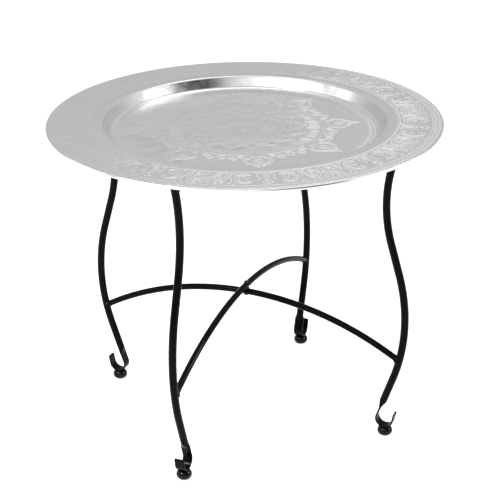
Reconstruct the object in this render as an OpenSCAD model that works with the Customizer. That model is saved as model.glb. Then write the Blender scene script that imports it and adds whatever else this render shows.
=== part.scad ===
// Round metal tray table on a folding stand of two crossed tube frames.
// Origin: on the ground under the centre of the table. +Z is up.
// The lower frame stands along X (left and right legs), the upper one along Y (front and back legs).

/* [Tray] */
// Outside diameter of the tray
tray_d = 600; // [560:10:640]
// Height of the tray's flat rim above the ground
table_h = 500; // [490:5:510]
// Depth of the well below the rim
well_depth = 17; // [14:1:20]
// Radius of the flat floor of the well
floor_r = 201; // [190:1:205]
// Slope of the well's wall from the floor
wall_angle = 58; // [50:1:70]
// Thickness of the sheet
sheet_t = 1; // [0.8:0.1:1.2]
// Diameter of the wire inside the rolled edge
rim_wire_d = 3; // [2:0.5:4]

/* [Legs] */
// Outside diameter of the leg tube
leg_d = 12; // [11:0.5:13]
// Wall of the tubes
tube_wall = 1.5; // [1:0.1:2]
// Distance from the centre to the leg where it bulges furthest out
bulge_r = 265.5; // [260:0.5:270]
// Height of the bulge
bulge_z = 198; // [190:1:205]
// Bend radius of the bulge
bulge_bend = 300; // [280:5:320]
// Distance from the centre to the leg at its waist
waist_r = 229.5; // [226:0.5:234]
// Height of the waist
waist_z = 398; // [390:1:405]
// Bend radius of the waist
waist_bend = 240; // [220:5:250]
// Lean of the straight lower end of the leg
splay = 18.5; // [17:0.5:20]

/* [Curled foot] */
// Width of the flattened end of the tube
strap_w = 16; // [14:0.5:18]
// Thickness of the flattened end
strap_t = 3.2; // [3:0.1:4]
// Bend radius of the curl
curl_bend = 13.5; // [12:0.5:15]
// Height at which the tube starts to flatten
neck_z = 61; // [56:1:66]
// Length over which it flattens
neck_l = 15; // [12:1:18]
// Height of the curl's free tip
tip_z = 41; // [38:1:44]
// Diameter of the bun foot
bun_d = 24; // [22:0.5:26]
// Height of the bun foot
bun_h = 14.5; // [13:0.5:16]

/* [Cross tubes] */
// Outside diameter of the arched stretchers and top bars
bar_d = 10; // [9:0.5:11]
// Thickness of the washer between two crossing tubes
washer_t = 1; // [0.6:0.2:1.6]
// Height of the middle of the lower arched stretcher
arch_z = 208.5; // [200:0.5:215]
// Bend radius of the lower arched stretcher
lower_arch_bend = 493; // [480:1:510]
// Bend radius of the upper arched stretcher
upper_arch_bend = 550; // [535:1:570]
// Height of the middle of the lower top bar
top_bar_z = 460; // [450:1:460]
// Diameter of the pivot rivets
rivet_d = 5; // [4:0.5:6]
// Diameter of a rivet's domed head
rivet_head_d = 8; // [7:0.5:10]
// Radial clearance of a rivet in the tube that turns on it
pivot_gap = 0.05; // [0.01:0.01:0.1]
// Clearance above and below the tube that turns on a rivet
turn_gap = 0.1; // [0.1:0.05:0.3]

/* [Hidden] */
$fn = 64;

// Angles of the four legs around the stand
RIGHT = 0;
BACK = 90;
LEFT = 180;
FRONT = 270;

// Leg: two tangent bends with a straight stretch between them
bulge_c = [bulge_r - bulge_bend, bulge_z];
waist_c = [waist_r + waist_bend, waist_z];
bend_sum = bulge_bend + waist_bend;
bend_in = bend_sum - (bulge_r - waist_r);
bend_up = waist_z - bulge_z;
lean = atan2(bend_up, bend_in) - acos(bend_sum / norm([bend_in, bend_up]));
rest_gap = 0.2;
plug_z = table_h - sheet_t - rest_gap - leg_d / 2;
flare = asin((plug_z - waist_z) / waist_bend);
leg_top = waist_c + waist_bend * [-cos(flare), sin(flare)];
leg_bottom = bulge_c + bulge_bend * [cos(splay), -sin(splay)];
plug_l = 12;

// Curled foot, whose middle also carries the bun foot
curl_z = bun_h + strap_t / 2 + curl_bend;
down = [-sin(splay), -cos(splay)];
lower_l = (leg_bottom[1] - curl_bend * sin(splay) - curl_z) / cos(splay);
tube_l = (leg_bottom[1] - neck_z) / cos(splay);
curl_start = leg_bottom + lower_l * down;
curl_c = curl_start + curl_bend * [cos(splay), -sin(splay)];
tip_lean = 10;
tip_l = (tip_z - curl_z + curl_bend * sin(tip_lean)) / cos(tip_lean);
tip_round = 4;
bun_flat_r = 5.5;

// How finely a leg is swept: corners of its section, and rings along its bends
sides = 20;
bend_rings = 12;
curl_rings = 14;
neck_rings = 5;
tip_rings = 4;
// Squareness of the section: 1 is round, and a strap's edges are only a little rounded
round_section = 1;
strap_section = 0.45;

// Cross tubes
stack = bar_d + washer_t + turn_gap;
washer_d = 10;
weld_l = 3.5;
weld_r = 2;
foot_weld_h = 1.8;
rivet_head_h = 2.2;
set_head_h = 1.2;

// Tray
tray_r = tray_d / 2;
floor_bend = 6;
lip_bend = 4;
roll_r = rim_wire_d / 2 + sheet_t;
roll_c = [tray_r - roll_r, table_h - roll_r];
roll_end = -170;
wire_gap = 0.02;
wall_l = (well_depth - (floor_bend + lip_bend) * (1 - cos(wall_angle))) / sin(wall_angle);
lip_r = floor_r + (floor_bend + lip_bend) * sin(wall_angle) + wall_l * cos(wall_angle);
floor_z = table_h - well_depth;

paint = [0.05, 0.05, 0.05];
silver = [0.78, 0.78, 0.77];

// Points of an arc in a plane, from angle a0 to a1
function arc(c, r, a0, a1, n) = [for (i = [0:n]) let (a = a0 + (a1 - a0) * i / n) c + r * [cos(a), sin(a)]];

// Where the circle (c1, r1) meets (c2, r2), on the side towards the leg's foot
function meet(c1, r1, c2, r2) =
    let (
        gap = norm(c2 - c1),
        along = (r1 * r1 - r2 * r2 + gap * gap) / (2 * gap),
        across = sqrt(r1 * r1 - along * along),
        u = (c2 - c1) / gap
    ) c1 + along * u + across * [u[1], -u[0]];

// Distance from the centre to a leg's centreline at a height near its waist
function waist_at(z) = waist_c[0] - sqrt(pow(waist_bend, 2) - pow(z - waist_z, 2));

// A section of a round tube, or of a rod when it has no bore
module tube_section(d, bore) {
    difference() {
        circle(d = d);
        if (bore > 0) circle(d = bore);
    }
}

// A bent tube in the XZ plane around c, from angle a0 to a1
module bent_tube(c, bend, a0, a1, d, bore = 0) {
    translate([c[0], 0, c[1]])
        rotate([90, 0, 0])
            rotate_extrude(angle = a1 - a0, start = a0, $fn = 360)
                translate([bend, 0])
                    tube_section(d, bore);
}

// One ring of a leg: its place and direction in the XZ plane, half its thickness and width, and its squareness
function ring(p, along, half_t, half_w, square) = [
    for (i = [0:sides - 1])
        let (
            c = cos(360 * i / sides),
            s = sin(360 * i / sides),
            u = half_t * sign(c) * pow(abs(c), square),
            v = half_w * sign(s) * pow(abs(s), square)
        ) [p[0] - u * along[1], v, p[1] + u * along[0]]
];

function mix(a, b, t) = a + (b - a) * t;

// Rings of the tube itself, from its top end down to where it starts to flatten
function tube_rings(d, over = 0) = [
    ring(leg_top + over * [sin(flare), cos(flare)], [-sin(flare), -cos(flare)], d / 2, d / 2, round_section),
    for (i = [1:bend_rings])
        let (a = mix(180 - flare, 180 + lean, i / bend_rings))
            ring(waist_c + waist_bend * [cos(a), sin(a)], [-sin(a), cos(a)], d / 2, d / 2, round_section),
    for (i = [0:bend_rings])
        let (a = mix(lean, -splay, i / bend_rings))
            ring(bulge_c + bulge_bend * [cos(a), sin(a)], [sin(a), -cos(a)], d / 2, d / 2, round_section),
    ring(leg_bottom + tube_l * down, down, d / 2, d / 2, round_section)
];

// Rings of the flattened end: the neck, the curl and the tip with its rounded corners
function strap_rings() = [
    for (i = [1:neck_rings])
        let (t = i / neck_rings, ease = t * t * (3 - 2 * t))
            ring(
                leg_bottom + (tube_l + neck_l * t) * down, down,
                mix(leg_d, strap_t, ease) / 2, mix(leg_d, strap_w, ease) / 2,
                mix(round_section, strap_section, ease)
            ),
    for (i = [0:curl_rings])
        let (a = mix(180 - splay, 360 - tip_lean, i / curl_rings))
            ring(curl_c + curl_bend * [cos(a), sin(a)], [-sin(a), cos(a)], strap_t / 2, strap_w / 2, strap_section),
    for (i = [0:tip_rings])
        let (
            a = 90 * i / (tip_rings + 1),
            up = [sin(tip_lean), cos(tip_lean)],
            start = curl_c + curl_bend * [cos(tip_lean), -sin(tip_lean)]
        ) ring(
            start + (tip_l - tip_round * (1 - sin(a))) * up, up,
            strap_t / 2, strap_w / 2 - tip_round * (1 - cos(a)), strap_section
        )
];

module sweep(rings) {
    last = len(rings) - 1;
    polyhedron(
        points = [for (r = rings) each r],
        faces = concat(
            [[for (i = [0:sides - 1]) sides - 1 - i]],
            [[for (i = [0:sides - 1]) last * sides + i]],
            [for (k = [0:last - 1], i = [0:sides - 1])
                let (j = (i + 1) % sides) each [
                    [k * sides + i, k * sides + j, (k + 1) * sides + i],
                    [k * sides + j, (k + 1) * sides + j, (k + 1) * sides + i]
                ]]
        )
    );
}

// A leg is one tube: its lower end is squashed flat and curled under and up to a free tip
module leg(angle) {
    color(paint)
        rotate([0, 0, angle])
            difference() {
                sweep(concat(tube_rings(leg_d), strap_rings()));
                sweep(tube_rings(leg_d - 2 * tube_wall, 1));
            }
}

module bun_foot(angle) {
    side = arc([0, 0], 1, -90, 90, 14);
    profile = [for (p = side) [bun_flat_r + (bun_d / 2 - bun_flat_r) * p[0], bun_h / 2 * (1 + p[1])]];
    color(paint)
        rotate([0, 0, angle])
            translate([curl_c[0], 0, 0])
                rotate_extrude()
                    polygon(concat([[0, 0]], profile, [[0, bun_h]]));
}

// Bead between a bun foot and the strap above it
module foot_weld(angle) {
    color(paint)
        rotate([0, 0, angle])
            translate([curl_c[0], 0, bun_h])
                cylinder(h = foot_weld_h, r1 = bun_flat_r, r2 = bun_flat_r - 1);
}

// Ball-ended plug in the top of a leg, on which the tray's rim rests
module leg_plug(angle) {
    color(paint)
        rotate([0, 0, angle])
            translate([leg_top[0], 0, leg_top[1]])
                rotate([0, flare, 0]) {
                    difference() {
                        sphere(d = leg_d);
                        translate([0, 0, -leg_d])
                            cylinder(h = leg_d, d = 2 * leg_d);
                    }
                    translate([0, 0, -plug_l])
                        cylinder(h = plug_l, d = leg_d - 2 * tube_wall);
                }
}

// Solid outsides of one bend of a frame's two legs, for the tubes welded to them to be cut to
module bulge_outsides() {
    for (angle = [RIGHT, LEFT])
        rotate([0, 0, angle])
            bent_tube(bulge_c, bulge_bend, -splay, lean, leg_d);
}

module waist_outsides() {
    for (angle = [RIGHT, LEFT])
        rotate([0, 0, angle])
            bent_tube(waist_c, waist_bend, 180 - flare, 180 + lean, leg_d);
}

// End of an arched stretcher on the centreline of the right-hand leg
function arch_end(z, bend) = meet([0, z - bend], bend, bulge_c, bulge_bend);
// Angle of that end from upright
function arch_angle(z, bend) = asin(arch_end(z, bend)[0] / bend);

module stretcher(z, bend, hole) {
    reach = arch_angle(z, bend);
    color(paint)
        difference() {
            bent_tube([0, z - bend], bend, 90 - reach, 90 + reach, bar_d, bar_d - 2 * tube_wall);
            bulge_outsides();
            translate([0, 0, z - bar_d])
                cylinder(h = 2 * bar_d, d = hole);
        }
}

// Fillet bead around a tube's end, tapering away from the leg
module weld_bead() {
    difference() {
        cylinder(h = leg_d / 2 + weld_l, r1 = bar_d / 2 + weld_r + 1, r2 = bar_d / 2 + 0.3);
        translate([0, 0, -1])
            cylinder(h = leg_d + weld_l, d = bar_d);
    }
}

module stretcher_weld_pair(z, bend) {
    end = arch_end(z, bend);
    color(paint)
        difference() {
            for (angle = [RIGHT, LEFT])
                rotate([0, 0, angle])
                    translate([end[0], 0, end[1]])
                        rotate([0, arch_angle(z, bend) - 90, 0])
                            weld_bead();
            bulge_outsides();
        }
}

module top_bar(z, hole) {
    reach = waist_at(z);
    color(paint)
        difference() {
            translate([-reach, 0, z])
                rotate([0, 90, 0])
                    linear_extrude(2 * reach)
                        tube_section(bar_d, bar_d - 2 * tube_wall);
            waist_outsides();
            translate([0, 0, z - bar_d])
                cylinder(h = 2 * bar_d, d = hole);
        }
}

module top_bar_weld_pair(z) {
    color(paint)
        difference() {
            for (angle = [RIGHT, LEFT])
                rotate([0, 0, angle])
                    translate([waist_at(z), 0, z])
                        rotate([0, -90, 0])
                            weld_bead();
            waist_outsides();
        }
}

// Rivet through two crossing tubes, the lower of which is centred at z: its set head underneath is the flatter
module pivot_rivet(z) {
    shank_h = 2 * bar_d + washer_t + 2 * turn_gap;
    color(paint)
        translate([0, 0, z - bar_d / 2])
            rotate_extrude()
                polygon(concat(
                    [[0, -set_head_h]],
                    [for (p = arc([0, 0], 1, -90, 0, 8)) [rivet_head_d / 2 * p[0], set_head_h * p[1]]],
                    [[rivet_d / 2, 0], [rivet_d / 2, shank_h]],
                    [for (p = arc([0, 0], 1, 0, 90, 8)) [rivet_head_d / 2 * p[0], shank_h + rivet_head_h * p[1]]]
                ));
}

module pivot_washer(z) {
    color(paint)
        translate([0, 0, z + bar_d / 2])
            difference() {
                cylinder(h = washer_t, d = washer_d);
                translate([0, 0, -1])
                    cylinder(h = washer_t + 2, d = rivet_d);
            }
}

// Section of the tray: well floor, sloping wall, lip, flat rim and rolled edge
module tray_section() {
    floor_c = [floor_r, floor_z + floor_bend];
    lip_c = [lip_r, table_h - lip_bend];
    top = concat(
        [[0, floor_z]],
        arc(floor_c, floor_bend, -90, -90 + wall_angle, 5),
        arc(lip_c, lip_bend, 90 + wall_angle, 90, 5),
        arc(roll_c, roll_r, 90, roll_end, 18)
    );
    under = concat(
        arc(roll_c, rim_wire_d / 2, roll_end, 90, 18),
        arc(lip_c, lip_bend - sheet_t, 90, 90 + wall_angle, 5),
        arc(floor_c, floor_bend + sheet_t, -90 + wall_angle, -90, 5),
        [[0, floor_z - sheet_t]]
    );
    polygon(concat(top, under));
}

module tray() {
    color(silver)
        rotate_extrude($fn = 180)
            tray_section();
}

module rim_wire() {
    color(silver)
        rotate_extrude($fn = 180)
            translate(roll_c)
                circle(r = rim_wire_d / 2 - wire_gap);
}

module left_leg() { leg(LEFT); }
module right_leg() { leg(RIGHT); }
module front_leg() { leg(FRONT); }
module back_leg() { leg(BACK); }
module left_bun_foot() { bun_foot(LEFT); }
module right_bun_foot() { bun_foot(RIGHT); }
module front_bun_foot() { bun_foot(FRONT); }
module back_bun_foot() { bun_foot(BACK); }
module left_leg_plug() { leg_plug(LEFT); }
module right_leg_plug() { leg_plug(RIGHT); }
module front_leg_plug() { leg_plug(FRONT); }
module back_leg_plug() { leg_plug(BACK); }
module left_foot_weld() { foot_weld(LEFT); }
module right_foot_weld() { foot_weld(RIGHT); }
module front_foot_weld() { foot_weld(FRONT); }
module back_foot_weld() { foot_weld(BACK); }
module lower_stretcher() { stretcher(arch_z, lower_arch_bend, rivet_d); }
module upper_stretcher() { rotate([0, 0, BACK]) stretcher(arch_z + stack, upper_arch_bend, rivet_d + 2 * pivot_gap); }
module lower_stretcher_welds() { stretcher_weld_pair(arch_z, lower_arch_bend); }
module upper_stretcher_welds() { rotate([0, 0, BACK]) stretcher_weld_pair(arch_z + stack, upper_arch_bend); }
module lower_top_bar() { top_bar(top_bar_z, rivet_d); }
module upper_top_bar() { rotate([0, 0, BACK]) top_bar(top_bar_z + stack, rivet_d + 2 * pivot_gap); }
module lower_top_bar_welds() { top_bar_weld_pair(top_bar_z); }
module upper_top_bar_welds() { rotate([0, 0, BACK]) top_bar_weld_pair(top_bar_z + stack); }
module stretcher_rivet() { pivot_rivet(arch_z); }
module stretcher_washer() { pivot_washer(arch_z); }
module top_bar_rivet() { pivot_rivet(top_bar_z); }
module top_bar_washer() { pivot_washer(top_bar_z); }

left_leg();
right_leg();
front_leg();
back_leg();
left_bun_foot();
right_bun_foot();
front_bun_foot();
back_bun_foot();
left_leg_plug();
right_leg_plug();
front_leg_plug();
back_leg_plug();
left_foot_weld();
right_foot_weld();
front_foot_weld();
back_foot_weld();
lower_stretcher();
upper_stretcher();
lower_stretcher_welds();
upper_stretcher_welds();
lower_top_bar();
upper_top_bar();
lower_top_bar_welds();
upper_top_bar_welds();
stretcher_rivet();
stretcher_washer();
top_bar_rivet();
top_bar_washer();
tray();
rim_wire();
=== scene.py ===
"""Looks of a round chased metal tray table on a folding stand of black enamelled tubes.

The stand is two crossed frames, each of two curled legs, an arched stretcher and a top bar. The tray
is one spun sheet whose rim and floor are chased all round, with its edge rolled over a wire.
"""

import logging
import math
import random
from dataclasses import dataclass, field
from enum import Enum
from typing import Any, Callable, Sequence

import bmesh
import bpy
import numpy as np
from mathutils import Matrix, Vector
from mathutils.geometry import delaunay_2d_cdt


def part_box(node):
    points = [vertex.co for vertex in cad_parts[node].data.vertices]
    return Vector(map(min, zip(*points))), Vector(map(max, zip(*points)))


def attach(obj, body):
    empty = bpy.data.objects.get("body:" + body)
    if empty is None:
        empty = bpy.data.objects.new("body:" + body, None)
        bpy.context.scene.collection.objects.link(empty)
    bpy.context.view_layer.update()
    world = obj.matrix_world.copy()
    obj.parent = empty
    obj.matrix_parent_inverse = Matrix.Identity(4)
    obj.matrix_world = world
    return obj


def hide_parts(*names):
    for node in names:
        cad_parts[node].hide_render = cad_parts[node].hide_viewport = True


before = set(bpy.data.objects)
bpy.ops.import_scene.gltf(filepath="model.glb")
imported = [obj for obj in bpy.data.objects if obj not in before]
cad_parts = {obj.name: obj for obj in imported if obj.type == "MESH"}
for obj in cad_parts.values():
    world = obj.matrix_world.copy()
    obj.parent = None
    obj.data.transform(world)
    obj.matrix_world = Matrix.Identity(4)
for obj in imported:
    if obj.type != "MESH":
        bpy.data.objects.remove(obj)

LOG = logging.getLogger("tray_table")
MM = 0.001
SEED = 7
# How many points are measured at a time, to spare memory
BLOCK = 2000
# Most of a noise texture's values lie between these
NOISE_SPAN = (0.3, 0.7)
# How far apart, in millimetres, the points of a chased curve lie
MARK_STEP = 2.2
# How many sides the tray's circles have
TRAY_SIDES = 320

Point = tuple[float, float]
Path = list[Point]


# Finishes


def linear(hex_code: str) -> tuple[float, float, float, float]:
    """Turns an sRGB hex colour to the linear values that shaders take.

    Args:
        hex_code: the colour as RRGGBB.

    Returns:
        Linear red, green and blue, and an alpha of 1.
    """
    channels = [int(hex_code[i:i + 2], 16) / 255 for i in (0, 2, 4)]
    values = [c / 12.92 if c <= 0.04045 else ((c + 0.055) / 1.055) ** 2.4 for c in channels]
    return (values[0], values[1], values[2], 1.0)


def add_node(
    tree: bpy.types.NodeTree,
    kind: str,
    settings: dict[str, Any] | None = None,
    inputs: dict[str | int, Any] | None = None,
) -> bpy.types.Node:
    """Adds a node with its settings, its values and its links.

    Args:
        tree: the node tree that it goes into.
        kind: the node's type name, such as ShaderNodeBump.
        settings: attributes of the node by name.
        inputs: a value for each named or numbered input, or the output socket that feeds it.

    Returns:
        The new node.
    """
    node = tree.nodes.new(kind)
    for name, value in (settings or {}).items():
        setattr(node, name, value)
    for key, value in (inputs or {}).items():
        if isinstance(value, bpy.types.NodeSocket):
            tree.links.new(value, node.inputs[key])
        else:
            node.inputs[key].default_value = value
    return node


def shader_tree(name: str) -> tuple[bpy.types.Material, bpy.types.NodeTree]:
    """Makes an empty node material.

    Args:
        name: the material's name.

    Returns:
        The material and its tree, which holds no nodes yet.
    """
    material = bpy.data.materials.new(name)
    material.use_nodes = True
    material.node_tree.nodes.clear()
    return material, material.node_tree


def per_metre(grain_mm: float) -> float:
    """Returns the noise scale whose grain is this many millimetres wide."""
    return 1 / (grain_mm * MM)


def grain(
    tree: bpy.types.NodeTree,
    place: bpy.types.NodeSocket,
    grain_mm: float,
    detail: float,
    rough: float = 0.5,
) -> bpy.types.NodeSocket:
    """Adds noise of one grain.

    Args:
        tree: the material's tree.
        place: the point on the piece, in metres.
        grain_mm: how wide its grain is.
        detail: how many finer layers it has.
        rough: how strong those layers are.

    Returns:
        The noise's value.
    """
    return add_node(
        tree, "ShaderNodeTexNoise", None,
        {"Vector": place, "Scale": per_metre(grain_mm), "Detail": detail, "Roughness": rough},
    ).outputs["Fac"]


def spread(
    tree: bpy.types.NodeTree, noise: bpy.types.NodeSocket, ends: tuple[float, float],
) -> bpy.types.NodeSocket:
    """Stretches noise over a range of values.

    Args:
        tree: the material's tree.
        noise: the noise's value, which keeps mostly inside NOISE_SPAN.
        ends: the range that it is to fill.

    Returns:
        The new value.
    """
    return add_node(
        tree, "ShaderNodeMapRange", None,
        {"Value": noise, "From Min": NOISE_SPAN[0], "From Max": NOISE_SPAN[1],
         "To Min": ends[0], "To Max": ends[1]},
    ).outputs["Result"]


def blend(
    tree: bpy.types.NodeTree, part: bpy.types.NodeSocket, first: str, second: str,
) -> bpy.types.NodeSocket:
    """Mixes two hex colours.

    Args:
        tree: the material's tree.
        part: 0 for the first colour, 1 for the second.
        first: the first colour as RRGGBB.
        second: the second colour as RRGGBB.

    Returns:
        The mixed colour.
    """
    return add_node(
        tree, "ShaderNodeMix", {"data_type": "RGBA"}, {0: part, 6: linear(first), 7: linear(second)},
    ).outputs[2]


def relief(
    tree: bpy.types.NodeTree,
    height: bpy.types.NodeSocket,
    depth: float,
    under: bpy.types.NodeSocket | None = None,
) -> bpy.types.NodeSocket:
    """Bends the surface by a height.

    Args:
        tree: the material's tree.
        height: the height, from 0 to 1.
        depth: what a height of 1 stands for, in metres.
        under: a coarser relief that this one lies on.

    Returns:
        The bent normal.
    """
    inputs = {"Strength": 1.0, "Distance": depth, "Height": height}
    if under is not None:
        inputs["Normal"] = under
    return add_node(tree, "ShaderNodeBump", None, inputs).outputs["Normal"]


def surface(tree: bpy.types.NodeTree, inputs: dict[str, Any]) -> None:
    """Adds the shader with these inputs and puts it out as the material's surface."""
    shader = add_node(tree, "ShaderNodeBsdfPrincipled", None, inputs)
    add_node(tree, "ShaderNodeOutputMaterial", None, {"Surface": shader.outputs[0]})


@dataclass(frozen=True)
class PolishedPlate:
    """Nickel-silver plated sheet, spun and then polished on a wheel.

    It gives the eye a clear but slightly soft mirror: the sheet's slow waves bend what it reflects,
    and the wheel's hairlines and a cloudy handling film spread the lights a little.
    """

    name: str = "polished_silver_plate"
    colour: str = "E6E6E6"
    film_colour: str = "D6D6D6"
    roughness: tuple[float, float] = (0.17, 0.27)
    wave_mm: float = 55.0
    wave_height: float = 0.00030
    cloud_mm: float = 14.0
    # Real hairlines are about 0.2 mm apart, and these are drawn coarser so that they show at all
    hairline_mm: float = 1.1
    hairline_height: float = 0.0000035

    def build(self) -> bpy.types.Material:
        """Builds the node material."""
        material, tree = shader_tree(self.name)
        place = add_node(tree, "ShaderNodeTexCoord").outputs["Object"]
        clouds = grain(tree, place, self.cloud_mm, 4.0, 0.6)
        waves = relief(tree, grain(tree, place, self.wave_mm, 1.0), self.wave_height)
        hairlines = relief(tree, self._hairlines(tree, place), self.hairline_height, waves)
        surface(tree, {
            "Base Color": blend(tree, clouds, self.colour, self.film_colour),
            "Metallic": 1.0,
            "Roughness": spread(tree, clouds, self.roughness),
            "Normal": hairlines,
        })
        return material

    def _hairlines(self, tree: bpy.types.NodeTree, place: bpy.types.NodeSocket) -> bpy.types.NodeSocket:
        """Makes noise that runs in rings round the tray, as a polishing wheel leaves it.

        Args:
            tree: the material's tree.
            place: the point on the sheet, in metres.

        Returns:
            The noise's value.
        """
        flat = add_node(
            tree, "ShaderNodeVectorMath", {"operation": "MULTIPLY"}, {0: place, 1: (1.0, 1.0, 0.0)},
        ).outputs[0]
        radius = add_node(tree, "ShaderNodeVectorMath", {"operation": "LENGTH"}, {0: flat}).outputs["Value"]
        ways = add_node(tree, "ShaderNodeVectorMath", {"operation": "NORMALIZE"}, {0: flat}).outputs[0]
        split = add_node(tree, "ShaderNodeSeparateXYZ", None, {0: ways})
        rings = add_node(
            tree, "ShaderNodeMath", {"operation": "MULTIPLY"}, {0: radius, 1: per_metre(self.hairline_mm)},
        ).outputs[0]
        spot = add_node(
            tree, "ShaderNodeCombineXYZ", None,
            {"X": split.outputs["X"], "Y": split.outputs["Y"], "Z": rings},
        ).outputs[0]
        return add_node(
            tree, "ShaderNodeTexNoise", None, {"Vector": spot, "Scale": 1.0, "Detail": 3.0},
        ).outputs["Fac"]


@dataclass(frozen=True)
class ChasedCut:
    """The bottoms and sides of lines chased into the plated sheet with a liner and hammer.

    Matt metal that scatters light, so the lines read as brighter threads on the darker mirror. Towards
    one side the lines are shallower, as if polished almost away, and there their colour is painted darker
    and nearly as smooth as the sheet: painted shade. On the other side they are painted bright and matt,
    a painted highlight for how the lamps catch them there.
    """

    name: str = "chased_silver_line"
    colour: str = "FBFBFB"
    worn_and_shaded_colour: str = "E2E2E2"
    roughness: tuple[float, float] = (0.27, 0.45)
    # The side where the lines are painted bright and matt, a painted highlight, as a direction from the
    # table's middle; the tray also cuts its lines deepest towards it
    fresh_and_lit_side: float = -6.0
    # Where, in metres along that direction, the painted shade on the lines turns to painted highlight
    fade: tuple[float, float] = (-0.13, 0.2)
    # Cups set down in the middle have rubbed the lines inside this radius
    rubbed_r: float = 0.135
    rubbed_left: float = 0.2
    patch_mm: float = 70.0
    patch_shift: float = 0.16
    # A liner leaves a mark about every 0.3 mm, drawn twice as long here
    chatter_mm: float = 0.6
    chatter_height: float = 0.00003

    def build(self) -> bpy.types.Material:
        """Builds the node material."""
        material, tree = shader_tree(self.name)
        place = add_node(tree, "ShaderNodeTexCoord").outputs["Object"]
        # Painted light and wear together: this value paints the lines bright on the lit side, and darker on
        # the other side and in the rubbed middle
        fresh_and_lit = self._freshness_and_light(tree, place)
        smooth, matt = self.roughness
        roughness = add_node(
            tree, "ShaderNodeMapRange", None, {"Value": fresh_and_lit, "To Min": smooth, "To Max": matt},
        ).outputs["Result"]
        surface(tree, {
            "Base Color": blend(tree, fresh_and_lit, self.worn_and_shaded_colour, self.colour),
            "Metallic": 1.0,
            "Roughness": roughness,
            "Normal": relief(tree, grain(tree, place, self.chatter_mm, 2.0), self.chatter_height),
        })
        return material

    def _freshness_and_light(self, tree: bpy.types.NodeTree, place: bpy.types.NodeSocket) -> bpy.types.NodeSocket:
        """Makes a value from 0, where the lines are worn or in painted shade, to 1, where they are fresh and
        painted lit.

        Args:
            tree: the material's tree.
            place: the point on the sheet, in metres.

        Returns:
            The value.
        """
        side = (math.cos(math.radians(self.fresh_and_lit_side)), math.sin(math.radians(self.fresh_and_lit_side)), 0.0)
        reach = add_node(
            tree, "ShaderNodeVectorMath", {"operation": "DOT_PRODUCT"}, {0: place, 1: side},
        ).outputs["Value"]
        patches = grain(tree, place, self.patch_mm, 2.0)
        shifted = add_node(
            tree, "ShaderNodeMath", {"operation": "MULTIPLY_ADD"},
            {0: patches, 1: self.patch_shift, 2: reach},
        ).outputs[0]
        low, high = (edge + self.patch_shift / 2 for edge in self.fade)
        # Painted light: the lines brighten across the tray towards the lit side
        across = add_node(
            tree, "ShaderNodeMapRange", {"interpolation_type": "SMOOTHSTEP"},
            {"Value": shifted, "From Min": low, "From Max": high},
        ).outputs["Result"]
        centre = add_node(
            tree, "ShaderNodeVectorMath", {"operation": "MULTIPLY"}, {0: place, 1: (1.0, 1.0, 0.0)},
        ).outputs[0]
        radius = add_node(
            tree, "ShaderNodeVectorMath", {"operation": "LENGTH"}, {0: centre},
        ).outputs["Value"]
        outward = add_node(
            tree, "ShaderNodeMapRange", {"interpolation_type": "SMOOTHSTEP"},
            {"Value": radius, "From Min": self.rubbed_r / 2, "From Max": self.rubbed_r,
             "To Min": self.rubbed_left},
        ).outputs["Result"]
        return add_node(
            tree, "ShaderNodeMath", {"operation": "MULTIPLY"}, {0: across, 1: outward},
        ).outputs[0]


@dataclass(frozen=True)
class Coating:
    """A thin opaque coat or moulding whose surface has a fine peel and a few dull patches."""

    name: str
    colour: str
    dull_colour: str
    roughness: tuple[float, float]
    peel_mm: float
    peel_height: float
    patch_mm: float = 22.0
    metallic: float = 0.0
    level: float = 0.5

    def build(self) -> bpy.types.Material:
        """Builds the node material."""
        material, tree = shader_tree(self.name)
        place = add_node(tree, "ShaderNodeTexCoord").outputs["Object"]
        patches = grain(tree, place, self.patch_mm, 5.0, 0.65)
        surface(tree, {
            "Base Color": blend(tree, patches, self.colour, self.dull_colour),
            "Metallic": self.metallic,
            "Roughness": spread(tree, patches, self.roughness),
            "Specular IOR Level": self.level,
            "Normal": relief(tree, grain(tree, place, self.peel_mm, 2.0), self.peel_height),
        })
        return material


class Finish(Enum):
    """The finishes of the table's pieces, each with the record's slot for it."""

    PLATE = ("tray_metal", PolishedPlate())
    CUT = ("tray_metal", ChasedCut())
    # Stoved gloss enamel on steel tube: near black, with crisp lights and a fine orange peel
    ENAMEL = ("frame_paint", Coating(
        "stoved_black_enamel", "040405", "08080A", (0.12, 0.2), peel_mm=2.2, peel_height=0.00004,
        level=0.05))
    # Thick enamel on the turned feet: it has flowed smooth, so the lights on it are rounder and clearer
    FOOT = ("foot_enamel", Coating(
        "flowed_black_enamel", "030304", "060607", (0.06, 0.1), peel_mm=5.0, peel_height=0.00002,
        level=0.16))
    # Moulded polyethylene: a dull black with the mould's fine grain
    PLASTIC = ("plug_plastic", Coating(
        "moulded_black_polyethylene", "101011", "18181A", (0.48, 0.6), peel_mm=0.8, peel_height=0.00004))
    # Upset steel rivets and their washers, chemically blackened: dark metal with small worn glints
    RIVET = ("pivot_steel", Coating(
        "blackened_steel", "1B1B1D", "3A3A3C", (0.3, 0.42), peel_mm=1.2, peel_height=0.00003,
        patch_mm=3.0, metallic=0.85))
    # Drawn steel wire in the tray's rolled edge: a bright grey with a faint draw grain
    WIRE = ("tray_metal", Coating(
        "drawn_steel_wire", "B9B9B7", "9D9D9B", (0.3, 0.4), peel_mm=0.9, peel_height=0.00002,
        patch_mm=6.0, metallic=1.0))

    @property
    def slot(self) -> str:
        """The record's material slot."""
        return self.value[0]

    def material(self) -> bpy.types.Material:
        """Returns this finish's material, which is made once."""
        return bpy.data.materials.get(self.value[1].name) or self.value[1].build()


# Meshes


def mix(low: float, high: float, part: float) -> float:
    """Returns the value this part of the way from low to high."""
    return low + (high - low) * part


def ease(part: float) -> float:
    """Returns a part from 0 to 1 that starts and ends gently."""
    return part * part * (3 - 2 * part)


def turned(degrees: float, axis: str = "Z") -> Matrix:
    """Returns a turn about one axis."""
    return Matrix.Rotation(math.radians(degrees), 4, axis)


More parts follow.
